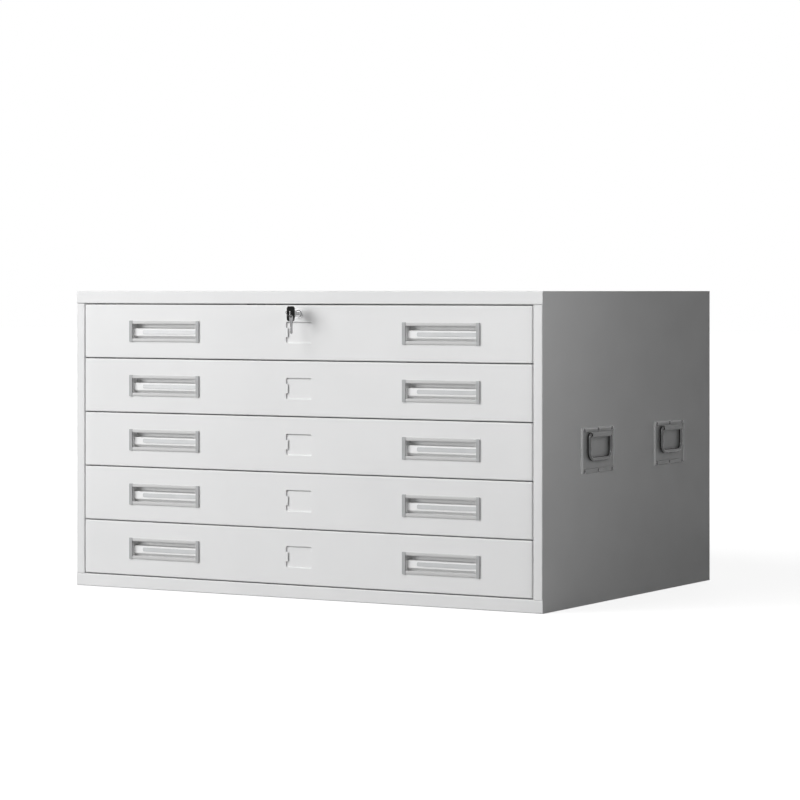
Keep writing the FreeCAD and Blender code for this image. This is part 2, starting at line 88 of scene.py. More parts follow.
def grid_faces(rows, columns, wrap_rows=False, wrap_columns=False):
    """Quads of a grid: each cell joins (i, j), (i+1, j), (i+1, j+1) and (i, j+1), and a
    wrapped direction goes from its last index back to its first."""
    i, j = np.meshgrid(np.arange(rows - (not wrap_rows)), np.arange(columns - (not wrap_columns)),
                       indexing="ij")
    i_next = (i + 1) % rows
    j_next = (j + 1) % columns
    cells = [i * columns + j, i_next * columns + j, i_next * columns + j_next, i * columns + j_next]
    return np.stack(cells, axis=-1).reshape(-1, 4)


def tube_faces(rows, columns):
    """Faces of a grid that is wrapped across, with one face more over each of its two ends."""
    faces = grid_faces(rows, columns, wrap_columns=True).tolist()
    return faces + [list(range(columns)), list(range((rows - 1) * columns, rows * columns))]


def shell(points, faces):
    """One closed or open surface: its points in millimetres and its faces as index lists."""
    return np.asarray(points, dtype=float).reshape(-1, 3), [list(map(int, face)) for face in faces]


def merged(shells):
    """Several shells as one: each one's indices move up by the number of points before it."""
    points = []
    faces = []
    count = 0
    for some_points, some_faces in shells:
        points.append(some_points)
        faces += [[index + count for index in face] for face in some_faces]
        count += len(some_points)
    return np.concatenate(points), faces


def copies(one_shell, offsets):
    """The shell repeated at each offset."""
    points, faces = one_shell
    return merged([(points + np.asarray(offset, dtype=float), faces) for offset in offsets])


def mirrored(one_shell):
    """The shell on the other side of the middle: X changes its sign. Its faces then point
    inwards, which is put right where the piece is made."""
    points, faces = one_shell
    return points * [-1, 1, 1], faces


def both_sides(one_shell):
    """The shell and its mirror image as one."""
    return merged([one_shell, mirrored(one_shell)])


# %% [markdown]
# A shell becomes a piece in one place, so every piece is treated alike. Its points go from
# millimetres to metres, its faces are turned outwards, and it is tied to the body that it moves
# with. Smooth shading makes a mesh look rounder than it is, so the edges that are sharp on the
# real piece are marked crisp. A bevel gives moulded and bent pieces their small round edges.

# %% From a shell to a piece
SAME_POINT, NO_LENGTH = 2e-7, 1e-7
CRISP_TURN, BEVEL_TURN = np.radians(35), np.radians(30)


def make_piece(name, one_shell, material, body, stands_for=()):
    """Mesh object from a shell. Points that coincide are merged, and closed shells are turned
    to face outwards. An edge is crisp where its two faces turn by more than the crisp turn,
    and where one face alone uses it."""
    points, faces = one_shell
    mesh = bpy.data.meshes.new(name)
    mesh.from_pydata((points * MM).tolist(), [], faces)
    work = bmesh.new()
    work.from_mesh(mesh)
    bmesh.ops.remove_doubles(work, verts=work.verts, dist=SAME_POINT)
    bmesh.ops.dissolve_degenerate(work, edges=work.edges, dist=NO_LENGTH)
    bmesh.ops.recalc_face_normals(work, faces=work.faces)
    work.to_mesh(mesh)
    work.free()
    mesh.polygons.foreach_set("use_smooth", np.ones(len(mesh.polygons), dtype=bool))
    mesh.set_sharp_from_angle(angle=CRISP_TURN)
    crisp = np.empty(len(mesh.edges), dtype=bool)
    mesh.edges.foreach_get("use_edge_sharp", crisp)
    used = np.empty(len(mesh.loops), dtype=np.int32)
    mesh.loops.foreach_get("edge_index", used)
    crisp |= np.bincount(used, minlength=len(crisp)) == 1
    mesh.edges.foreach_set("use_edge_sharp", crisp)
    mesh.materials.append(material)
    piece = bpy.data.objects.new(name, mesh)
    bpy.context.scene.collection.objects.link(piece)
    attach(piece, body)
    if stands_for:
        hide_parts(*stands_for)
    print(name, len(mesh.vertices), "points", len(mesh.polygons), "faces")
    return piece


def soften(piece, width, segments=3):
    """Rounds the crisp edges of a piece with a bevel of that width in millimetres."""
    bevel = piece.modifiers.new("rounded edges", "BEVEL")
    bevel.width = width * MM
    bevel.segments = segments
    bevel.limit_method = "ANGLE"
    bevel.angle_limit = BEVEL_TURN
    bevel.harden_normals = True


# %% [markdown]
# ## Outlines
#
# Most sections are polygons with rounded corners: an extruded pull, a bent strap, a moulded
# key head. It is easiest to write the sharp corners and a radius for each one, and to let one
# function put in the arcs. A second function carries an outline along a straight line.

# %% Rounded outlines, and outlines carried along a line


def rounded(points, radii, steps=7):
    """Closed outline with its corners rounded. At each corner the arc starts radius times
    tan(half the turn) before the corner, and its centre lies square to the incoming edge, one
    radius to the side that the outline turns to. The arc sweeps the turn in equal steps."""
    points = np.asarray(points, dtype=float)
    radii = np.broadcast_to(np.asarray(radii, dtype=float), (len(points),))
    into = points - np.roll(points, 1, axis=0)
    into /= np.linalg.norm(into, axis=1, keepdims=True)
    out = np.roll(into, -1, axis=0)
    turn = np.arctan2(into[:, 0] * out[:, 1] - into[:, 1] * out[:, 0], (into * out).sum(axis=1))
    side = np.stack([-into[:, 1], into[:, 0]], axis=1) * np.sign(turn)[:, None]
    start = points - into * (radii * np.tan(np.abs(turn) / 2))[:, None]
    centre = start + side * radii[:, None]
    swept = np.linspace(0, 1, steps)[None, :] * np.abs(turn)[:, None]
    arcs = (centre[:, None, :] - side[:, None, :] * (radii[:, None] * np.cos(swept))[..., None]
            + into[:, None, :] * (radii[:, None] * np.sin(swept))[..., None])
    return arcs.reshape(-1, 2)


def rectangle(low, high):
    """The four corners between two opposite ones, anticlockwise from the lower left."""
    return [(low[0], low[1]), (high[0], low[1]), (high[0], high[1]), (low[0], high[1])]


AXES = {"x": (1, 2, 0), "y": (0, 2, 1), "z": (0, 1, 2)}


def carried(outline, axis, start, end):
    """Solid with a flat outline carried straight along an axis: point (a, b) goes to a and b
    on the two other axes, in X, Y, Z order, and to start and end on this one. The two ends
    are closed with one face each."""
    outline = np.asarray(outline, dtype=float)
    count = len(outline)
    points = np.empty((2, count, 3))
    points[:, :, AXES[axis][0]] = outline[:, 0]
    points[:, :, AXES[axis][1]] = outline[:, 1]
    points[:, :, AXES[axis][2]] = np.array([[start], [end]])
    return shell(points, tube_faces(2, count))


# %% [markdown]
# ## Finishes
#
# No real surface has one colour and one gloss all over. Each material here takes noise on the
# object's own coordinates, so that the pattern stays with the piece when it moves. The noise
# shifts the colour and the gloss a little, and lifts the surface by hundredths of a millimetre.

# %% Node helpers
NOISE_LOW, NOISE_HIGH = 0.3, 0.7


def new_material(name):
    """Material with an empty node tree except for its output and a Principled shader."""
    material = bpy.data.materials.new(name)
    material.use_nodes = True
    nodes = material.node_tree.nodes
    return material, nodes, material.node_tree.links, nodes["Principled BSDF"]


def noise_field(nodes, links, size_mm, detail=3.0, stretch=(1, 1, 1)):
    """Noise whose grains measure about that size in millimetres, longer by 1/stretch."""
    coordinates = nodes.new("ShaderNodeTexCoord")
    mapping = nodes.new("ShaderNodeMapping")
    mapping.inputs["Scale"].default_value = stretch
    noise = nodes.new("ShaderNodeTexNoise")
    noise.inputs["Scale"].default_value = 1 / (size_mm * MM)
    noise.inputs["Detail"].default_value = detail
    links.new(coordinates.outputs["Object"], mapping.inputs["Vector"])
    links.new(mapping.outputs["Vector"], noise.inputs["Vector"])
    return noise


def spread(nodes, links, source, low, high):
    """Maps noise from its usual span onto low to high."""
    ranged = nodes.new("ShaderNodeMapRange")
    ranged.inputs["From Min"].default_value = NOISE_LOW
    ranged.inputs["From Max"].default_value = NOISE_HIGH
    ranged.inputs["To Min"].default_value = low
    ranged.inputs["To Max"].default_value = high
    links.new(source.outputs[0], ranged.inputs["Value"])
    return ranged


def mottled(nodes, links, source, dark, light):
    """Colour that runs from the dark one to the light one as the noise rises."""
    ramp = nodes.new("ShaderNodeValToRGB")
    ramp.color_ramp.elements[0].position = NOISE_LOW
    ramp.color_ramp.elements[0].color = (*dark, 1)
    ramp.color_ramp.elements[1].position = NOISE_HIGH
    ramp.color_ramp.elements[1].color = (*light, 1)
    links.new(source.outputs[0], ramp.inputs["Fac"])
    return ramp


def lifted(nodes, links, source, shader, height_mm):
    """Lifts the surface by the noise, by that height at most."""
    bump = nodes.new("ShaderNodeBump")
    bump.inputs["Strength"].default_value = 1.0
    bump.inputs["Distance"].default_value = height_mm * MM
    links.new(source.outputs[0], bump.inputs["Height"])
    links.new(bump.outputs["Normal"], shader.inputs["Normal"])


# %% [markdown]
# ## Paint
#
# The chest is powder coated. From close by such paint has a fine orange-peel skin, and its
# gloss wanders a little from place to place. A broad noise shifts the colour, a middling one
# the gloss, and a fine one makes the peel. The trays inside are a shade darker.

# %% Paint
CLOUD, GLOSS_CLOUD, PEEL, PEEL_HEIGHT = 160, 45, 1.6, 0.012


def powder_coat(name, dark, light):
    """Satin powder coat between two greys."""
    material, nodes, links, shader = new_material(name)
    shader.inputs["Specular IOR Level"].default_value = 0.2
    cloud = noise_field(nodes, links, CLOUD)
    links.new(mottled(nodes, links, cloud, dark, light).outputs[0], shader.inputs["Base Color"])
    gloss = noise_field(nodes, links, GLOSS_CLOUD)
    links.new(spread(nodes, links, gloss, 0.36, 0.46).outputs[0], shader.inputs["Roughness"])
    lifted(nodes, links, noise_field(nodes, links, PEEL, detail=2), shader, PEEL_HEIGHT)
    return material


carcass_paint = powder_coat("carcass_paint", (0.775, 0.778, 0.780), (0.805, 0.807, 0.808))
drawer_paint = powder_coat("drawer_paint", (0.785, 0.787, 0.789), (0.812, 0.814, 0.815))
tray_paint = powder_coat("tray_paint", (0.70, 0.705, 0.71), (0.74, 0.745, 0.75))
print("paints", carcass_paint.name, drawer_paint.name, tray_paint.name)

# %% [markdown]
# ## Metals
#
# Zinc-plated runners are a little dull, with long faint streaks from rolling. The handle plates
# are matt and grey, the bails glossy chrome wire whose dark grey is a painted reflection of a
# dark studio, and the lock has satin chrome.
# All of them are one recipe with different numbers: two greys, a span of roughness, and the
# size and stretch of the grain.

# %% Metals
METAL_CLOUD = 30


def metal(name, dark, light, roughness, grain_mm, stretch, lift_mm=0.004, metallic=1.0):
    """Metal with a stretched grain that shows in its gloss and its surface, under a broad
    noise that shows in its colour."""
    material, nodes, links, shader = new_material(name)
    shader.inputs["Metallic"].default_value = metallic
    grain = noise_field(nodes, links, grain_mm, detail=4, stretch=stretch)
    cloud = noise_field(nodes, links, METAL_CLOUD)
    links.new(mottled(nodes, links, cloud, dark, light).outputs[0], shader.inputs["Base Color"])
    links.new(spread(nodes, links, grain, *roughness).outputs[0], shader.inputs["Roughness"])
    lifted(nodes, links, grain, shader, lift_mm)
    return material


runner_steel = metal("runner_steel", (0.50, 0.51, 0.52), (0.60, 0.61, 0.62), (0.28, 0.42), 1.2,
                     (1, 0.05, 1))
plate_metal = metal("plate_metal", (0.38, 0.382, 0.384), (0.44, 0.442, 0.444), (0.55, 0.65), 1.1,
                    (1, 0.1, 1), metallic=0.15)
# Painted reflection: the bails are chrome, and this dark grey stands for the dark studio that they
# mirror.
bail_dark_painted_reflection = metal("bail_dark_painted_reflection", (0.07, 0.0705, 0.071), (0.10, 0.1005, 0.101), (0.08, 0.14), 1.1,
                   (1, 0.3, 1), lift_mm=0.002)
lock_chrome = metal("lock_chrome", (0.60, 0.60, 0.604), (0.66, 0.66, 0.664), (0.42, 0.5), 1.5,
                    (1, 1, 1), lift_mm=0.001, metallic=0.3)
key_metal = metal("key_metal", (0.09, 0.09, 0.092), (0.14, 0.14, 0.142), (0.34, 0.44), 0.8,
                  (1, 1, 0.2))
blade_metal = metal("blade_metal", (0.72, 0.72, 0.725), (0.82, 0.82, 0.825), (0.3, 0.4), 0.8,
                    (1, 0.2, 1), metallic=0.6)
print("metals for runners, plates, bails, lock and keys")

# %% [markdown]
# A handle plate gets a painted highlight along its border: a lighter colour that stands for light
# catching its side bands and upper edge. The mesh carries a number for each point, named like the
# function below, that is one on the border and nought elsewhere, and the material blends by it.

# %% Painted highlight on the plate's border
MIX_FIRST, MIX_SECOND, MIX_RESULT = 6, 7, 2


def colour_blend(nodes, links, share, target):
    """Feeds the target with a mix of two colours and gives back their sockets: the first
    shows at share nought, the second at one. A Mix node has sockets for several kinds of
    value, and the numbers above are those of its colours."""
    blend = nodes.new("ShaderNodeMix")
    blend.data_type = "RGBA"
    links.new(share, blend.inputs["Factor"])
    links.new(blend.outputs[MIX_RESULT], target)
    return blend.inputs[MIX_FIRST], blend.inputs[MIX_SECOND]


def painted_highlight(material, highlight_colour):
    """Blends in the light colour, a painted highlight, where the mesh's own attribute that bears
    this function's name rises to one.
    """
    nodes, links = material.node_tree.nodes, material.node_tree.links
    base = nodes["Principled BSDF"].inputs["Base Color"]
    plain = base.links[0].from_socket
    share = nodes.new("ShaderNodeAttribute")
    share.attribute_name = "painted_highlight"
    first, second = colour_blend(nodes, links, share.outputs["Fac"], base)
    links.new(plain, first)
    second.default_value = (*highlight_colour, 1)


# Painted highlight: a lighter grey on the plate's side bands and upper edge, in place of light
# catching them.
painted_highlight(plate_metal, (0.70, 0.70, 0.705))
print("rubbed border in", plate_metal.name)

# %% [markdown]
# A pull is extruded aluminium, so its grain runs along it. Its lips, which stand proud of the
# drawer front, are their own darker grey. The channel between them is a lighter grey that is
# painted light: it lifts the shade in the finger hollow and under the lips. The material chooses
# by depth: the Y of the point, in the piece's own coordinates.

# %% Pull finish, with painted light in the channel
PAINTED_LIGHT_DEPTH, PULL_GRAIN, GRAIN_CONTRAST = 1.5, 0.9, 0.02


def pull_metal_and_painted_light(name, lip, channel_painted_lighter):
    """Satin aluminium: the lip grey in front of the drawer's face, a lighter grey from a short
    way behind it that is painted light in the shaded channel, and a straight blend between."""
    material, nodes, links, shader = new_material(name)
    shader.inputs["Metallic"].default_value = 0.15
    grain = noise_field(nodes, links, PULL_GRAIN, detail=4, stretch=(0.05, 1, 1))
    coordinates = nodes.new("ShaderNodeTexCoord")
    split = nodes.new("ShaderNodeSeparateXYZ")
    links.new(coordinates.outputs["Object"], split.inputs[0])
    depth = nodes.new("ShaderNodeMapRange")
    depth.inputs["From Min"].default_value = FACE * MM
    depth.inputs["From Max"].default_value = FACE * MM + PAINTED_LIGHT_DEPTH * MM
    links.new(split.outputs["Y"], depth.inputs["Value"])
    sockets = colour_blend(nodes, links, depth.outputs["Result"], shader.inputs["Base Color"])
    for tone, socket in zip((lip, channel_painted_lighter), sockets):
        shades = mottled(nodes, links, grain, (tone - GRAIN_CONTRAST,) * 3,
                         (tone + GRAIN_CONTRAST,) * 3)
        links.new(shades.outputs[0], socket)
    links.new(spread(nodes, links, grain, 0.45, 0.55).outputs[0], shader.inputs["Roughness"])
    lifted(nodes, links, grain, shader, 0.004)
    return material


# The channel's lighter grey is painted light that lifts the shade in the finger hollow; the lips'
# darker grey is their own tone.
pull_metal = pull_metal_and_painted_light("pull_metal", lip=0.45, channel_painted_lighter=0.68)
print("finish of the pulls", pull_metal.name)

# %% [markdown]
# ## Plastics and paper
#
# The end caps and the key's head are moulded and matt, with a fine spark-eroded grain. The
# strip over a label is smooth and glossy. It is too thin to look into, so a pale grey stands
# for clear plastic on white card. The card itself is plain white paper.

# %% Plastics and paper
PLASTIC_CLOUD = 25


def moulded(name, dark, light, roughness, grain_mm=0.5, lift_mm=0.01, specular=0.5):
    """Moulded plastic with a fine even grain."""
    material, nodes, links, shader = new_material(name)
    shader.inputs["Specular IOR Level"].default_value = specular
    grain = noise_field(nodes, links, grain_mm, detail=2)
    cloud = noise_field(nodes, links, PLASTIC_CLOUD)
    links.new(mottled(nodes, links, cloud, dark, light).outputs[0], shader.inputs["Base Color"])
    links.new(spread(nodes, links, grain, *roughness).outputs[0], shader.inputs["Roughness"])
    lifted(nodes, links, grain, shader, lift_mm)
    return material


label_paper = moulded("label_paper", (0.86, 0.86, 0.86), (0.89, 0.89, 0.89), (0.7, 0.8), 0.3)
cap_plastic = moulded("cap_plastic", (0.37, 0.375, 0.38), (0.41, 0.415, 0.42), (0.5, 0.62))
# Painted light: the end walls are white so that the shaded ends of the channel read bright.
end_wall_painted_light = moulded("end_wall_painted_light", (0.88, 0.88, 0.88), (0.91, 0.91, 0.91), (0.6, 0.7))
key_plastic = moulded("key_plastic", (0.003, 0.003, 0.003), (0.006, 0.006, 0.006), (0.42, 0.55),
                      specular=0.15)
strip_plastic = moulded("strip_plastic", (0.56, 0.57, 0.575), (0.60, 0.61, 0.615), (0.18, 0.26),
                        grain_mm=6, lift_mm=0.004)
print("plastics for caps, ends, key head and strips, and paper for the labels")

# %% [markdown]
# ## Finish the folded sheet and the runners
#
# Panels, posts, trays and runners keep the shapes that the engineering model gives them. Each
# only has its plain material swapped for one of the finishes above.

# %% Put finishes on the pieces that stay


def finish(material, *nodes):
    """Puts one material in every slot of each of these nodes."""
    for node in nodes:
        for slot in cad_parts[node].material_slots:
            slot.material = material
    print(material.name, "on", len(nodes), "nodes")


finish(carcass_paint, "side_panel_left", "side_panel_right", "top_panel", "bottom_panel",
       "back_panel")
finish(runner_steel, "runner_posts", "outer_runners_left", "outer_runners_right", "lock_nut",
       "lock_cam")
finish(tray_paint, *[f"drawer_{d}_tray" for d in DRAWERS])
finish(runner_steel, *[f"drawer_{d}_{row}_runners" for d in DRAWERS for row in ("inner", "middle")])
finish(lock_chrome, "lock_plug")
finish(blade_metal, "key_blade")

# %% [markdown]
# ## Pressed sheet
#
# A drawer front is one pressed sheet: flat, with a stamped label pocket, two openings, and all
# four edges rolled back. A handle plate is pressed too. Both are made by one function. The
# flat part is a grid whose lines stand close together only where the sheet bends, pushed in by
# a depth formula.

# %% Grid lines, and the depth of a pocket
SAME_LINE = 1e-6


def grid_lines(*stretches):
    """Places of grid lines: each stretch is (from, to, number of cells). Doubles are dropped."""
    lines = np.concatenate([np.linspace(a, b, cells + 1) for a, b, cells in stretches])
    return lines[np.concatenate([[True], np.diff(lines) > SAME_LINE])]


def both_ways(lines):
    """Lines that go up from nought, with the same ones below nought, in rising order."""
    return np.concatenate([-lines[:0:-1], lines])


def pocket_depth(a, b, half_a, half_b, radius, depth, wall):
    """Depth of a stamped pocket. The distance to a rounded rectangle is the length of what
    sticks out past its corner centres, less the radius. Inside, the depth rises with the
    smooth step 3t^2 - 2t^3 over the width of the wall."""
    over_a = np.abs(a) - (half_a - radius)
    over_b = np.abs(b) - (half_b - radius)
    outside = np.hypot(np.maximum(over_a, 0), np.maximum(over_b, 0)) - radius
    distance = outside + np.minimum(np.maximum(over_a, over_b), 0)
    t = np.clip(-distance / wall, 0, 1)
    return depth * t * t * (3 - 2 * t)


# %% [markdown]
# The rolled edge is a quarter circle carried round the grid's border. At a corner the border
# stays where it is while the direction turns by a right angle, so the edge becomes a fan, which
# is the shape that a press gives a drawn corner.

# %% Pressed sheet with a rolled edge
ROLL_POINTS, CORNER_TURNS = 6, 5


def border(a_lines, b_lines):
    """Points round the border of a grid and the direction out from each, in radians. At a
    corner the point is repeated while its direction turns in equal steps."""
    rows, columns = len(a_lines), len(b_lines)
    sides = [
        (a_lines, np.full(rows, b_lines[0]), -90),
        (np.full(columns, a_lines[-1]), b_lines, 0),
        (a_lines[::-1], np.full(rows, b_lines[-1]), 90),
        (np.full(columns, a_lines[0]), b_lines[::-1], 180),
    ]
    loop_a, loop_b, headings = [], [], []
    for side_a, side_b, heading in sides:
        turns = heading + np.linspace(0, 90, CORNER_TURNS + 1)[1:-1]
        loop_a += [side_a, np.full(len(turns), side_a[-1])]
        loop_b += [side_b, np.full(len(turns), side_b[-1])]
        headings += [np.full(len(side_a), heading), turns]
    return np.concatenate(loop_a), np.concatenate(loop_b), np.radians(np.concatenate(headings))


def pressed_sheet(a_lines, b_lines, depth_at, place, edge_radius, edge_depth, keep=None):
    """Pressed sheet as one shell, with the loop of points along its rear edge. place turns
    (a, b, depth) into X, Y, Z. The rolled edge goes out by r sin(t) and back by r (1 - cos t)
    for t from 0 to a quarter turn, and then straight back to the edge depth."""
    a, b = np.meshgrid(a_lines, b_lines, indexing="ij")
    flat = place(a.ravel(), b.ravel(), depth_at(a, b).ravel())
    faces = grid_faces(*a.shape)
    if keep is not None:
        middle_a = (a[:-1, :-1] + a[1:, 1:]) / 2
        middle_b = (b[:-1, :-1] + b[1:, 1:]) / 2
        faces = faces[keep(middle_a, middle_b).ravel()]

    loop_a, loop_b, headings = border(a_lines, b_lines)
    roll = np.linspace(0, np.pi / 2, ROLL_POINTS)
    out = np.append(edge_radius * np.sin(roll), edge_radius)
    back = np.append(edge_radius * (1 - np.cos(roll)), edge_depth)
    rim_a = loop_a[:, None] + np.cos(headings)[:, None] * out
    rim_b = loop_b[:, None] + np.sin(headings)[:, None] * out
    rim_back = np.broadcast_to(back, rim_a.shape)
    rim = place(rim_a.ravel(), rim_b.ravel(), rim_back.ravel())
    rim_faces = grid_faces(len(loop_a), len(out), wrap_rows=True)
    rear_loop = len(flat) + np.arange(len(loop_a)) * len(out) + len(out) - 1
    points, all_faces = merged([shell(flat, faces), shell(rim, rim_faces)])
    return points, all_faces, rear_loop.tolist()


# %% [markdown]
# ## Drawer fronts
#
# The label pocket is 56 by 39.5 millimetres and shallow. Along its upper edge runs a narrow
# slit, where the card goes in. The grid's lines stand close at the pocket's walls and round
# the hole for the lock. The sheet gets its thickness from a Solidify modifier, which grows
# inwards so that the outside keeps its size.

# %% Drawer fronts
SHEET, EDGE = 1.0, 1.5
PULL_X, CUT_ACROSS, CUT_UP = 297.5, 74.8, 17.6
POCKET_ACROSS, POCKET_UP, POCKET_RADIUS, POCKET_DEPTH, POCKET_WALL = 28.0, 19.75, 4.0, 2.4, 1.2
SLIT_ACROSS, SLIT_UP, SLIT, SLIT_DEPTH = 26.5, 18.6, 0.9, 2.0
LOCK_Z = sum(corners("lock_barrel"))[2] / 2
LOCK_CLEAR, NEARLY_FLAT = 8.6, 0.9
END_FROM, END_TO, CALM_TO = POCKET_ACROSS - 6, POCKET_ACROSS + 0.5, 60
WALL_FROM, WALL_TO, LOCK_FROM, LOCK_TO = POCKET_UP - 5.75, POCKET_UP + 0.25, 26, 44


def front_place(a, b, depth):
    """Across is X, up is Z, and depth goes in along +Y from the face."""
    return np.stack([a, FACE + depth, b], axis=-1)


def front_lines(drawer, half, top):
    """Grid lines of a front to the right of its middle, and those above it."""
    right = grid_lines((0, END_FROM, 12), (END_FROM, END_TO, 18), (END_TO, CALM_TO, 4),
                       (CALM_TO, PULL_X - CUT_ACROSS, 12),
                       (PULL_X - CUT_ACROSS, PULL_X + CUT_ACROSS, 10),
                       (PULL_X + CUT_ACROSS, half, 8))
    upper = grid_lines((0, WALL_FROM, 8), (WALL_FROM, CUT_UP, 10), (CUT_UP, WALL_TO, 8),
                       (WALL_TO, LOCK_FROM, 3), (LOCK_FROM, LOCK_TO, 24 if drawer == 1 else 6),
                       (LOCK_TO, top, 2))
    return right, upper


def drawer_front(drawer):
    """Pressed front of one drawer. Its faces have to look forwards, towards -Y, and are
    flipped if most of their area looks the other way. Gives back the height of its middle."""
    low, high = corners(f"drawer_{drawer}_front")
    middle = (low[2] + high[2]) / 2
    right, upper = front_lines(drawer, high[0] - EDGE, high[2] - EDGE - middle)

    def depth_at(a, b):
        in_slit = (np.abs(a) < SLIT_ACROSS) & (np.abs(b - middle - SLIT_UP) < SLIT / 2)
        return SLIT_DEPTH * in_slit + pocket_depth(a, b - middle, POCKET_ACROSS, POCKET_UP,
                                                   POCKET_RADIUS, POCKET_DEPTH, POCKET_WALL)

    def keep(a, b):
        in_cut = (np.abs(np.abs(a) - PULL_X) < CUT_ACROSS) & (np.abs(b - middle) < CUT_UP)
        in_lock = (drawer == 1) & (np.hypot(a, b - LOCK_Z) < LOCK_CLEAR)
        return ~(in_cut | in_lock)

    points, faces, _ = pressed_sheet(both_ways(right), middle + both_ways(upper), depth_at,
                                     front_place, EDGE, high[1] - FACE, keep)
    piece = make_piece(f"drawer_{drawer}_pressed_front", (points, faces), drawer_paint,
                       f"drawer_{drawer}", [f"drawer_{drawer}_front"])
    flat_faces = [p for p in piece.data.polygons if abs(p.normal.y) > NEARLY_FLAT]
    if sum(p.normal.y * p.area for p in flat_faces) > 0:
        piece.data.flip_normals()
    wall = piece.modifiers.new("sheet", "SOLIDIFY")
    wall.thickness = SHEET * MM
    wall.offset = -1
    wall.use_even_offset = True
    return middle


# %% [markdown]
# A tab at the middle of each end of the pocket keeps the card in. The tabs are small plates
# that lie a hair under the face, so that they don't flicker against it.

# %% Tabs of the label pockets, and all the fronts
TAB_REACH, TAB_UP, TAB_SHEET = 4.5, 8.5, 0.8
TAB_RADIUS, TAB_TUCK, TAB_SKIN = 0.6, 0.4, 0.03


def pocket_tabs(drawer, middle):
    """The two tabs of the pocket whose middle has that height."""
    outline = rounded(rectangle((POCKET_ACROSS - TAB_REACH, middle - TAB_UP),
                                (POCKET_ACROSS + TAB_TUCK, middle + TAB_UP)),
                      [TAB_RADIUS, 0, 0, TAB_RADIUS])
    one_tab = carried(outline, "y", FACE + TAB_SKIN, FACE + TAB_SHEET)
    soften(make_piece(f"drawer_{drawer}_pocket_tabs", both_sides(one_tab), drawer_paint,
                      f"drawer_{drawer}"), width=0.2, segments=2)


front_middles = {}
for d in DRAWERS:
    front_middles[d] = drawer_front(d)
    pocket_tabs(d, front_middles[d])

# %% [markdown]
# ## Pulls
#
# Each pull is a length of extrusion: an upper lip over the finger hollow, a ledge for the
# label, a groove and a lower lip. A die leaves every corner a little round, so the section is
# its sharp corners with a radius each, carried along the pull.

# %% Pull section
PULL_UP = (corners("drawer_1_pulls")[1] - corners("drawer_1_pulls")[0])[2] / 2
CHANNEL, WALL, PROUD, LIP_COVER, LIP_HEIGHT, LIP_BACK = 72.0, 1.5, 1.5, 2.2, 6, 2.5
HOLLOW, HOLLOW_MOUTH, LEDGE, LEDGE_HEIGHT, GROOVE = 14.5, 8, 4.0, 14.2, 9.0
LIP = PULL_UP - LIP_HEIGHT
BODY = PULL_UP - LIP_COVER
CEILING = BODY - WALL
LEDGE_TOP = LIP - HOLLOW_MOUTH
LEDGE_LOW = LEDGE_TOP - LEDGE_HEIGHT

# each corner is its depth behind the face, its height over the middle, and its radius
pull_corners = np.array([
    (-PROUD, PULL_UP, 0.9), (-PROUD, LIP, 0.9), (LIP_BACK, LIP, 0.7), (LIP_BACK, CEILING, 0.3),
    (HOLLOW, CEILING, 3.0), (HOLLOW, LEDGE_TOP, 3.0), (LEDGE, LEDGE_TOP, 0.8),
    (LEDGE, LEDGE_LOW, 0.8), (GROOVE, -LIP, 0.6), (GROOVE, -CEILING, 1.2),
    (LIP_BACK, -CEILING, 0.3), (LIP_BACK, -LIP, 0.7), (-PROUD, -LIP, 0.9),
    (-PROUD, -PULL_UP, 0.9), (0, -PULL_UP, 0.1), (0, -BODY, 0.1), (GROOVE + WALL, -BODY, 0.5),
    (GROOVE + WALL, LEDGE_LOW + WALL, 0.3), (LEDGE + WALL, LEDGE_LOW + WALL, 0.3),
    (LEDGE + WALL, LEDGE_TOP - WALL, 0.3), (HOLLOW + WALL, LEDGE_TOP - WALL, 0.5),
    (HOLLOW + WALL, BODY, 0.5), (0, BODY, 0.1), (0, PULL_UP, 0.1),
])
pull_section = rounded(pull_corners[:, :2], pull_corners[:, 2])
pull_section[:, 0] += FACE
one_pull = carried(pull_section, "x", -CHANNEL, CHANNEL)
print("pull section", len(pull_section), "points, half its height", PULL_UP)

# %% [markdown]
# The ends of a pull are moulded: a grey face plate that covers the cut edge of the front, and a
# wall that closes the channel. The wall's white is painted light: it stands for light at the
# channel's end, where the wall lies in shade. A blank card lies on the ledge under a clear strip,
# which stops short of the left end so that the card can be pushed out.

# %% Pulls, their ends and label strips
CAP, CAP_PROUD, CAP_WALL, CAP_OVER = 7.0, 2.2, 2.5, 0.5
STRIP, STRIP_SHEET, STRIP_DROP, STRIP_INSET, STRIP_RADIUS = 7.5, 0.8, 3.0, 21.0, 2.5
CARD, CARD_SKIN, CARD_END, CARD_SIDE = 0.25, 0.02, 0.5, 0.9

cap_up = PULL_UP + CAP_OVER
cap_plate = carried(rounded(rectangle((CHANNEL, -cap_up), (CHANNEL + CAP, cap_up)),
                            [0.3, 1.2, 1.2, 0.3]), "y", FACE - CAP_PROUD, FACE)
end_wall = carried(rectangle((CHANNEL, -BODY), (CHANNEL + CAP_WALL, BODY)), "y", FACE,
                   FACE + HOLLOW + WALL)

strip_top = LEDGE_TOP - STRIP_DROP
strip_outline = rounded(rectangle((STRIP_INSET - CHANNEL, strip_top - STRIP), (CHANNEL, strip_top)),
                        [STRIP_RADIUS, 0, 0, STRIP_RADIUS])
card_front = FACE + LEDGE - CARD
one_strip = carried(strip_outline, "y", card_front - STRIP_SHEET, card_front)
one_card = carried(rectangle((CARD_END - CHANNEL, LEDGE_LOW + CARD_SIDE),
                             (CHANNEL - CARD_END, LEDGE_TOP - CARD_SIDE)),
                   "y", card_front, FACE + LEDGE - CARD_SKIN)

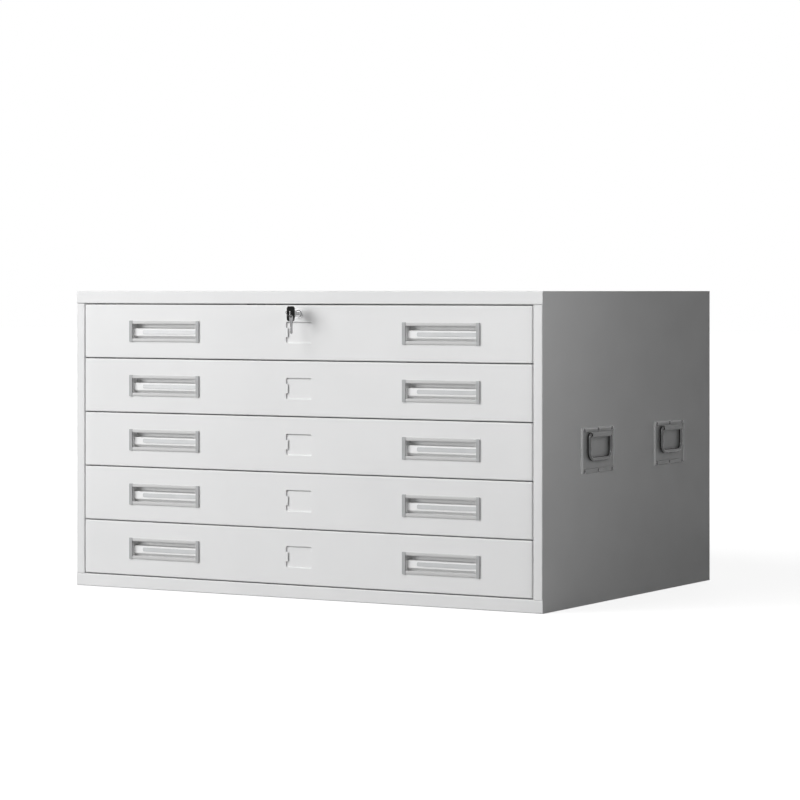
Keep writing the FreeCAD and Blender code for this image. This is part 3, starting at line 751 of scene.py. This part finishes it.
for d, middle in front_middles.items():
    places = [(-PULL_X, 0, middle), (PULL_X, 0, middle)]
    body = f"drawer_{d}"
    make_piece(f"drawer_{d}_pull_channels", copies(one_pull, places), pull_metal, body,
               [f"drawer_{d}_pulls"])
    # the white end walls are painted light against the shade at the channel's ends
    make_piece(f"drawer_{d}_pull_ends", copies(both_sides(end_wall), places), end_wall_painted_light, body)
    soften(make_piece(f"drawer_{d}_moulded_caps", copies(both_sides(cap_plate), places),
                      cap_plastic, body, [f"drawer_{d}_pull_caps"]), width=0.5)
    soften(make_piece(f"drawer_{d}_clear_strips", copies(one_strip, places), strip_plastic, body,
                      [f"drawer_{d}_label_strips"]), width=0.15, segments=2)
    make_piece(f"drawer_{d}_blank_cards", copies(one_card, places), label_paper, body)

# %% [markdown]
# ## Lock and keys
#
# The lock's barrel is a turned piece: one closed section, a flange with a rounded rim, a
# threaded shank and the bore, swept a full turn about the lock's axis. The thread is rings
# instead of a spiral: a row of points that step in and out by its depth. It lies behind the
# front, where nobody can tell the two apart.

# %% Lock barrel
barrel_low, barrel_high = corners("lock_barrel")
BORE, SHANK, FLANGE = 5.55, 8.0, (barrel_high[0] - barrel_low[0]) / 2
NECK, THREAD_START, THREAD_STOP, THREAD_DEPTH, THREAD_POINTS = 1.5, 2, 0.5, 0.25, 41
ARC_POINTS = 7


def turned(section, sides=64):
    """Ring swept about the lock's axis: each section point (radius, y) goes round to
    (radius cos t, y, radius sin t). Both directions wrap, so there is no pole."""
    section = np.asarray(section, dtype=float)
    radius = section[:, 0]
    t = np.arange(sides)[:, None] * 2 * np.pi / sides
    y = np.broadcast_to(section[:, 1], (sides, len(section)))
    points = np.stack([radius * np.cos(t), y, LOCK_Z + radius * np.sin(t)], axis=-1)
    return shell(points, grid_faces(sides, len(section), wrap_rows=True, wrap_columns=True))


flange_front, flange_back, shank_back = barrel_low[1], FACE, barrel_high[1]
# the third corner only gives the rim its direction, so the arcs of the first two are kept
flange_part = rounded([(BORE, flange_front), (FLANGE, flange_front), (FLANGE, flange_back)],
                      [0.25, 0.9, 0.0], steps=ARC_POINTS)[:2 * ARC_POINTS]
thread_y = np.linspace(flange_back + THREAD_START, shank_back - THREAD_STOP, THREAD_POINTS)
thread_radius = SHANK - THREAD_DEPTH * (np.arange(THREAD_POINTS) % 2)
barrel_section = np.concatenate([
    flange_part, [(FLANGE, flange_back), (SHANK, flange_back), (SHANK, flange_back + NECK)],
    np.stack([thread_radius, thread_y], axis=1), [(SHANK, shank_back), (BORE, shank_back)],
])
make_piece("lock_turned_barrel", turned(barrel_section), lock_chrome, "drawer_1",
           ["lock_barrel"])

# %% [markdown]
# The key's head is moulded over the metal. It is a flat ring: the slot for the split ring
# inside, a rounded rectangle outside, and between the two a section with soft edges.

# %% Key head
HEAD_RADIUS, HEAD_RIM, HEAD_ARC = 5.0, 6.0, 12
SLOT_WIDTH, SLOT_UP, SLOT_RADIUS, SLOT_RISE = 5.6, 4.5, 2.5, 1.0


def flat_ring(inner, outer, axis, low, high):
    """Closed flat ring between two loops whose points match one to one: at each pair the
    section is the four points inner and outer, low and high. Both directions wrap."""
    pair = np.stack([inner, outer, outer, inner], axis=1)
    points = np.empty((len(inner), 4, 3))
    points[:, :, AXES[axis][0]] = pair[..., 0]
    points[:, :, AXES[axis][1]] = pair[..., 1]
    points[:, :, AXES[axis][2]] = np.array([low, low, high, high])
    return shell(points, grid_faces(len(inner), 4, wrap_rows=True, wrap_columns=True))


head_low, head_high = corners("key_head")
slot_z = LOCK_Z + SLOT_RISE
slot_front = head_low[1] + HEAD_RIM
head_outer = rounded(rectangle(head_low[1:], head_high[1:]), HEAD_RADIUS, steps=HEAD_ARC)
head_slot = rounded(rectangle((slot_front, slot_z - SLOT_UP),
                              (slot_front + SLOT_WIDTH, slot_z + SLOT_UP)),
                    SLOT_RADIUS, steps=HEAD_ARC)
head_ring = flat_ring(head_slot, head_outer, "x", head_low[0], head_high[0])
soften(make_piece("key_moulded_head", head_ring, key_plastic, "lock_plug",
                  ["key_head"]), width=0.55)

# %% [markdown]
# The small key is cut from flat stock. Its bow is a flat ring too, round a drilled eye: the eye
# has a point in the direction of each point of the outline, so that the two loops match. Each
# cut in the blade is a small trapezium taken out of its straight edge, and a list of depths
# gives them all.

# %% Small key
spare_low, spare_high = corners("spare_key")
spare_x = (spare_low[0] + spare_high[0]) / 2
EYE_DROP, EYE_RADIUS, BOW_STRAIGHT, BOW_UP, BLADE = 2.8, 1.7, 7.5, 14.5, 2.3
FIRST_CUT, CUT_PITCH, CUT_FLAT, CUT_RAMP, TIP = 3.5, 2.6, 1.0, 0.6, 1.5
BLADE_TUCK, BLADE_INSET = 0.6, 0.1

neck_z = spare_high[2] - BOW_UP
eye = np.array([spare_x, spare_high[2] - EYE_DROP])
bow = rounded([
    (spare_x - BLADE, neck_z), (spare_x + BLADE, neck_z),
    (spare_high[0], spare_high[2] - BOW_STRAIGHT), (spare_high[0], spare_high[2]),
    (spare_low[0], spare_high[2]), (spare_low[0], spare_high[2] - BOW_STRAIGHT),
], [0.4, 0.4, 2.5, 3.5, 3.5, 2.5])
around = np.arctan2(bow[:, 1] - eye[1], bow[:, 0] - eye[0])
eye_loop = eye + EYE_RADIUS * np.stack([np.cos(around), np.sin(around)], axis=1)
spare_bow = flat_ring(eye_loop, bow, "y", spare_low[1], spare_high[1])

cut_depths = np.array([0.7, 1.2, 0.5, 0.9])
cut_top = neck_z - FIRST_CUT - CUT_PITCH * np.arange(len(cut_depths))
cut_edge = np.stack([
    np.stack([0 * cut_depths, cut_top], axis=1),
    np.stack([cut_depths, cut_top - CUT_RAMP], axis=1),
    np.stack([cut_depths, cut_top - CUT_RAMP - CUT_FLAT], axis=1),
    np.stack([0 * cut_depths, cut_top - 2 * CUT_RAMP - CUT_FLAT], axis=1),
], axis=1).reshape(-1, 2)
cut_edge[:, 0] = spare_x - BLADE + cut_edge[:, 0]
blade_outline = np.concatenate([
    [(spare_x + BLADE, neck_z + BLADE_TUCK), (spare_x - BLADE, neck_z + BLADE_TUCK)], cut_edge,
    [(spare_x - BLADE, spare_low[2] + TIP), (spare_x, spare_low[2]),
     (spare_x + BLADE, spare_low[2] + TIP)],
])
spare_blade = carried(blade_outline, "y", spare_low[1] + BLADE_INSET, spare_high[1] - BLADE_INSET)
soften(make_piece("spare_key_cut", merged([spare_bow, spare_blade]), key_metal, "spare_key",
                  ["spare_key"]), width=0.2, segments=2)

# %% [markdown]
# A split ring is flat wire wound nearly two turns, so that its ends can be sprung apart. The
# wire's section goes round a circle twice while it moves sideways by its own thickness.

# %% Split ring
RING_RADIUS, RING_HALF, RING_COIL, RING_TURNS, RING_LEAN = 7.0, 0.45, 0.24, 1.93, np.radians(45)
CROSS_FROM, CROSS_LENGTH, COIL_FILL, WIRE_CORNER = 0.42, 0.16, 0.96, 0.15


def wound_wire(centre, radius, lean, turns, half_width, half_coil, stations=121):
    """Wire wound round a circle that leans about Y. At angle t the section's centre is at the
    radius, and sideways by half a coil times a smooth step that rises about the half-way point.
    The section is a small rounded rectangle, and each end has a face of its own."""
    t = np.linspace(0, 1, stations)[:, None]
    angle = 2 * np.pi * turns * t
    step = np.clip((t - CROSS_FROM) / CROSS_LENGTH, 0, 1)
    aside = half_coil * (2 * step * step * (3 - 2 * step) - 1)
    half_thick = half_coil * COIL_FILL
    section = rounded(rectangle((-half_width, -half_thick), (half_width, half_thick)),
                      WIRE_CORNER, steps=4)
    out = radius + section[:, 0]
    y = out * np.cos(angle)
    up = out * np.sin(angle)
    across = aside + section[:, 1]
    points = np.stack([
        centre[0] + across * np.cos(lean) - up * np.sin(lean), centre[1] + y + 0 * across,
        centre[2] + across * np.sin(lean) + up * np.cos(lean),
    ], axis=-1)
    return shell(points, tube_faces(stations, len(section)))


ring_centre = sum(corners("key_ring")) / 2
split_ring = wound_wire(ring_centre, RING_RADIUS, RING_LEAN, RING_TURNS, RING_HALF, RING_COIL)
make_piece("key_split_ring", split_ring, key_metal, "spare_key", ["key_ring"])

# %% [markdown]
# ## Lift handles
#
# Each handle is a pressed steel plate with a raised border, a bail of round wire, and a strap
# bent over the bail's upper bar. Six small heads hold the plate on. The plate uses the same
# formula as the drawer fronts, with a shallow pocket almost as large as the plate. Its rear is
# closed with one face, and its side bands and upper edge are marked for a painted highlight.

# %% Handle plates
PLATE_ACROSS, PLATE_UP, PLATE_Z, PLATE_EDGE = 65.0, 40.5, 275.5, 1.4
PLATE_FACE = corners("handle_plates_right")[1][0]
BAND_ACROSS, BAND_UP, RAISED, RAMP, INNER_RADIUS = 4.0, 7.5, 1.6, 1.1, 2.5
INNER_ACROSS, INNER_UP, HIGHLIGHT_UP = PLATE_ACROSS - BAND_ACROSS, PLATE_UP - BAND_UP, 1.5
CLOSE_INSIDE, CLOSE_OUTSIDE = 4, 0.2
HANDLE_Y = [sum(corners(f"bail_right_{row}"))[1] / 2 for row in ("front", "rear")]


def plate_lines(inner, outer):
    """Grid lines of a plate to both sides of its middle. They stand close together from a
    little inside the border's ramp to just outside it."""
    start, end = inner - CLOSE_INSIDE, inner + CLOSE_OUTSIDE
    return both_ways(grid_lines((0, start, 4), (start, end, 16), (end, outer - PLATE_EDGE, 2)))


def handle_plate(middle, sign):
    """Pressed plate of one handle about that Y, on the side of the chest that sign gives."""
    points, faces, rear = pressed_sheet(
        middle + plate_lines(INNER_ACROSS, PLATE_ACROSS), PLATE_Z + plate_lines(INNER_UP, PLATE_UP),
        lambda a, b: pocket_depth(a - middle, b - PLATE_Z, INNER_ACROSS, INNER_UP, INNER_RADIUS,
                                  RAISED, RAMP),
        lambda a, b, depth: np.stack([sign * (PLATE_FACE - depth), a, b], axis=-1),
        PLATE_EDGE, PLATE_FACE - SIDE)
    return points, faces + [rear]


def mark_painted_highlight(piece):
    """Sets the attribute of the painted highlight to one on the side bands and along the upper
    edge, where light would catch the plate.
    """
    places = np.empty(len(piece.data.vertices) * 3)
    piece.data.vertices.foreach_get("co", places)
    places = places.reshape(-1, 3) / MM
    across = np.abs(places[:, 1, None] - np.array(HANDLE_Y)).min(axis=1)
    highlighted = (across > INNER_ACROSS) | (places[:, 2] - PLATE_Z > PLATE_UP - HIGHLIGHT_UP)
    share = piece.data.attributes.new("painted_highlight", "FLOAT", "POINT")
    share.data.foreach_set("value", highlighted.astype(np.float32))


for side, sign in (("left", -1), ("right", 1)):
    plates = merged([handle_plate(y, sign) for y in HANDLE_Y])
    # the plates' side bands and upper edge are marked for the painted highlight
    mark_painted_highlight(make_piece(f"handle_pressed_plates_{side}", plates, plate_metal, "carcass",
                          [f"handle_plates_{side}"]))

# %% [markdown]
# The bail is one closed loop of wire: a circle carried along a rectangle with small bends at
# the top and wide ones at the bottom.

# %% Bails
WIRE, BEND_TOP, BEND_BOTTOM = 3.5, 5.0, 14.0


def wire_loop(path, plane_x, radius, sides=24):
    """Closed tube. Each section stands square to the path: the point at angle t is the path
    point, plus radius cos t along the path's sideways direction, plus radius sin t along X."""
    ahead = np.roll(path, -1, axis=0) - np.roll(path, 1, axis=0)
    ahead /= np.linalg.norm(ahead, axis=1, keepdims=True)
    sideways = np.stack([ahead[:, 1], -ahead[:, 0]], axis=1)
    t = np.arange(sides) * 2 * np.pi / sides
    flat = path[:, None, :] + radius * np.cos(t)[None, :, None] * sideways[:, None, :]
    x = np.broadcast_to(plane_x + radius * np.sin(t)[None, :], flat.shape[:2])
    points = np.stack([x, flat[..., 0], flat[..., 1]], axis=-1)
    return shell(points, grid_faces(len(path), sides, wrap_rows=True, wrap_columns=True))


for side in ("left", "right"):
    for row in ("front", "rear"):
        bail_low, bail_high = corners(f"bail_{side}_{row}")
        centre_line = rounded(rectangle(bail_low[1:] + WIRE, bail_high[1:] - WIRE),
                              [BEND_BOTTOM, BEND_BOTTOM, BEND_TOP, BEND_TOP], steps=13)
        # the bail wire's dark grey is a painted reflection of a dark studio in chrome
        make_piece(f"bail_wire_{side}_{row}",
                   wire_loop(centre_line, (bail_low[0] + bail_high[0]) / 2, WIRE),
                   bail_dark_painted_reflection, f"bail_{side}_{row}", [f"bail_{side}_{row}"])

# %% [markdown]
# The strap is a strip of sheet bent over the bail's upper bar, with both feet on the plate. Its
# section is drawn once about the bar's axis and carried along it.

# %% Straps
STRAP_BORE, STRAP, STRAP_BEND, STRAP_INSIDE = 3.8, 1.2, 3.6, 2.6
STRAP_HALF = corners("bail_straps")[1][1] - HANDLE_Y[1]
PLATE_FLOOR = PLATE_FACE - RAISED
hinge_low, hinge_high = corners("bail_right_rear")
HINGE_X, HINGE_Z = (hinge_low[0] + hinge_high[0]) / 2, hinge_high[2] - WIRE

outer, crown = STRAP_BORE + STRAP, HINGE_X + STRAP_BORE + STRAP
strap_section = rounded([
    (PLATE_FLOOR, -outer), (crown, -outer), (crown, outer), (PLATE_FLOOR, outer),
    (PLATE_FLOOR, STRAP_BORE), (crown - STRAP, STRAP_BORE), (crown - STRAP, -STRAP_BORE),
    (PLATE_FLOOR, -STRAP_BORE),
], [0, STRAP_BEND, STRAP_BEND, 0, 0, STRAP_INSIDE, STRAP_INSIDE, 0], steps=9)
strap_section[:, 1] += HINGE_Z
right_straps = [carried(strap_section, "y", y - STRAP_HALF, y + STRAP_HALF) for y in HANDLE_Y]
straps = [mirrored(strap) for strap in right_straps] + right_straps
soften(make_piece("bail_bent_straps", merged(straps), plate_metal, "carcass",
                  ["bail_straps"]), width=0.35)

# %% [markdown]
# The heads are low domes at the corners of each plate and at the middle of its upper and lower
# bands. A dome is rings of shrinking radius with a small flat on top.

# %% Heads
HEAD, DOME, HEAD_SUNK, HEAD_ACROSS, HEAD_UP = 3.0, 1.4, 0.3, 55.0, 36.75


def domed_head(sides=24):
    """Low dome about X: at angle t up from its foot the ring has radius R cos t and stands
    H sin t high. The foot goes a little into the plate, and both ends are closed."""
    t = np.radians([0, 0, 15, 30, 45, 60, 75])
    height = DOME * np.sin(t)
    height[0] = -HEAD_SUNK
    ring = np.arange(sides) * 2 * np.pi / sides
    radius = HEAD * np.cos(t)[:, None]
    points = np.stack([np.broadcast_to(height[:, None], (len(t), sides)),
                       radius * np.cos(ring), radius * np.sin(ring)], axis=-1)
    return shell(points, tube_faces(len(t), sides))


head_places = [(PLATE_FACE, y + across, PLATE_Z + up) for y in HANDLE_Y
               for across in (-HEAD_ACROSS, 0, HEAD_ACROSS) for up in (-HEAD_UP, HEAD_UP)]
right_heads = copies(domed_head(), head_places)
# the heads take the bails' dark grey, the same painted reflection
make_piece("handle_domed_heads", both_sides(right_heads), bail_dark_painted_reflection, "carcass",
           ["handle_rivets"])

# %% [markdown]
# ## Studio
#
# The photograph was taken on white with one large soft lamp to the left of the camera. The
# front is bright, the right side is two stops darker and fades towards the back. The world is
# white to the camera and to reflections, and much dimmer as a source of light. Light Path tells
# the two apart.

# %% World


def looked_at(nodes, links):
    """One for camera, glossy and transmission rays, and nought for light on the object."""
    path = nodes.new("ShaderNodeLightPath")
    total = path.outputs["Is Camera Ray"]
    for ray in ("Is Glossy Ray", "Is Transmission Ray"):
        add = nodes.new("ShaderNodeMath")
        add.operation = "ADD"
        add.use_clamp = True
        links.new(path.outputs[ray], add.inputs[0])
        links.new(total, add.inputs[1])
        total = add.outputs[0]
    return total


def studio_world(lighting):
    """White where the camera, a reflection or a refraction looks, and that level elsewhere."""
    world = bpy.data.worlds.new("studio")
    world.use_nodes = True
    nodes, links = world.node_tree.nodes, world.node_tree.links
    background = nodes["Background"]
    background.inputs["Color"].default_value = (1, 1, 1, 1)
    level = nodes.new("ShaderNodeMapRange")
    level.inputs["To Min"].default_value = lighting
    level.inputs["To Max"].default_value = 1.0
    links.new(looked_at(nodes, links), level.inputs["Value"])
    links.new(level.outputs["Result"], background.inputs["Strength"])
    bpy.context.scene.world = world


studio_world(lighting=0.01)
print("world", bpy.context.scene.world.name)

# %% [markdown]
# The floor is matt grey paper for the light that it throws back on the object. To the camera
# it also glows, so that it reads white. Near the object it glows a little less, so that the
# shadow shows there, and further out it is plain white.

# %% Floor
FLOOR_DROP = 0.0005
DIM_TO, WHITE_FROM = 0.8, 2.2


def studio_floor(size, glow):
    """Square floor of that half width in metres. Its glow for the camera is the given one
    near the object and rises with the distance from the middle to one."""
    mesh = bpy.data.meshes.new("studio_floor")
    x, y = np.meshgrid([-size, size], [-size, size], indexing="ij")
    points = np.stack([x.ravel(), y.ravel(), np.full(4, -FLOOR_DROP)], axis=-1)
    mesh.from_pydata(points.tolist(), [], [[0, 2, 3, 1]])
    material, nodes, links, shader = new_material("floor_paper")
    fibres = noise_field(nodes, links, 3)
    links.new(mottled(nodes, links, fibres, (0.28, 0.28, 0.28), (0.32, 0.32, 0.32)).outputs[0],
              shader.inputs["Base Color"])
    shader.inputs["Roughness"].default_value = 0.9
    shader.inputs["Specular IOR Level"].default_value = 0.1
    emission = nodes.new("ShaderNodeEmission")
    coordinates = nodes.new("ShaderNodeTexCoord")
    distance = nodes.new("ShaderNodeVectorMath")
    distance.operation = "LENGTH"
    links.new(coordinates.outputs["Object"], distance.inputs[0])
    fading = nodes.new("ShaderNodeMapRange")
    fading.inputs["From Min"].default_value = DIM_TO
    fading.inputs["From Max"].default_value = WHITE_FROM
    fading.inputs["To Min"].default_value = glow
    fading.inputs["To Max"].default_value = 1.0
    links.new(distance.outputs["Value"], fading.inputs["Value"])
    gain = nodes.new("ShaderNodeMath")
    gain.operation = "MULTIPLY"
    links.new(looked_at(nodes, links), gain.inputs[0])
    links.new(fading.outputs["Result"], gain.inputs[1])
    links.new(gain.outputs[0], emission.inputs["Strength"])
    both = nodes.new("ShaderNodeAddShader")
    links.new(shader.outputs[0], both.inputs[0])
    links.new(emission.outputs[0], both.inputs[1])
    links.new(both.outputs[0], nodes["Material Output"].inputs["Surface"])
    mesh.materials.append(material)
    floor = bpy.data.objects.new("studio_floor", mesh)
    bpy.context.scene.collection.objects.link(floor)


studio_floor(size=30.0, glow=0.85)

# %% [markdown]
# The large key lamp makes the front bright. The others are weak: one over the top, a fill for
# the front's right end, a small one by the side wall, and one behind for the views from there.
# Each lamp was rendered alone, and the powers are those whose sum comes closest to the greys of
# the photograph.

# %% Lamps
from mathutils import Vector


def soft_lamp(name, place, target, size, watts):
    """Square area lamp at a place in metres. A lamp shines along its own -Z, so its Z is
    turned to point away from the target."""
    data = bpy.data.lights.new(name, "AREA")
    data.shape = "SQUARE"
    data.size = size
    data.energy = watts
    lamp = bpy.data.objects.new(name, data)
    lamp.location = place
    backwards = Vector(place) - Vector(target)
    lamp.rotation_euler = backwards.to_track_quat("Z", "Y").to_euler()
    bpy.context.scene.collection.objects.link(lamp)
    print(name, watts, "W")


soft_lamp("key_lamp", (-4.4, -4.6, 1.9), (0, 0, 0.3), 3.6, 300)
soft_lamp("top_lamp", (-0.8, -2.2, 3.0), (0, -0.3, 0.3), 1.6, 51)
soft_lamp("front_fill", (2.2, -4.0, 0.9), (0, -0.3, 0.3), 1.2, 7)
soft_lamp("side_fill", (1.1, -0.75, 0.75), (0.5, -0.3, 0.4), 0.3, 1.5)
soft_lamp("back_fill", (-0.8, 4.2, 2.2), (0, 0.3, 0.3), 2.0, 30)

# %% [markdown]
# ## Camera
#
# The camera's place and lens were solved from the corners of the chest in the photograph. It
# stands level, hardly higher than the top, and the lens is shifted down. It is turned by the
# angle whose sine came out of the solution.

# %% Camera and view
LENS, SENSOR, SHIFT_UP, TURN_SINE = 133.11, 36.0, -0.1375, 0.5053

camera_data = bpy.data.cameras.new("photo_camera")
camera_data.lens = LENS
camera_data.sensor_width = SENSOR
camera_data.shift_y = SHIFT_UP
camera = bpy.data.objects.new("photo_camera", camera_data)
camera.location = (2.879, -4.902, 0.562)
camera.rotation_euler = (np.radians(90), 0, np.arcsin(TURN_SINE))
bpy.context.scene.collection.objects.link(camera)
bpy.context.scene.camera = camera
bpy.context.scene.view_settings.view_transform = "Standard"
print("camera at", tuple(camera.location), "turned", np.degrees(np.arcsin(TURN_SINE)), "degrees")
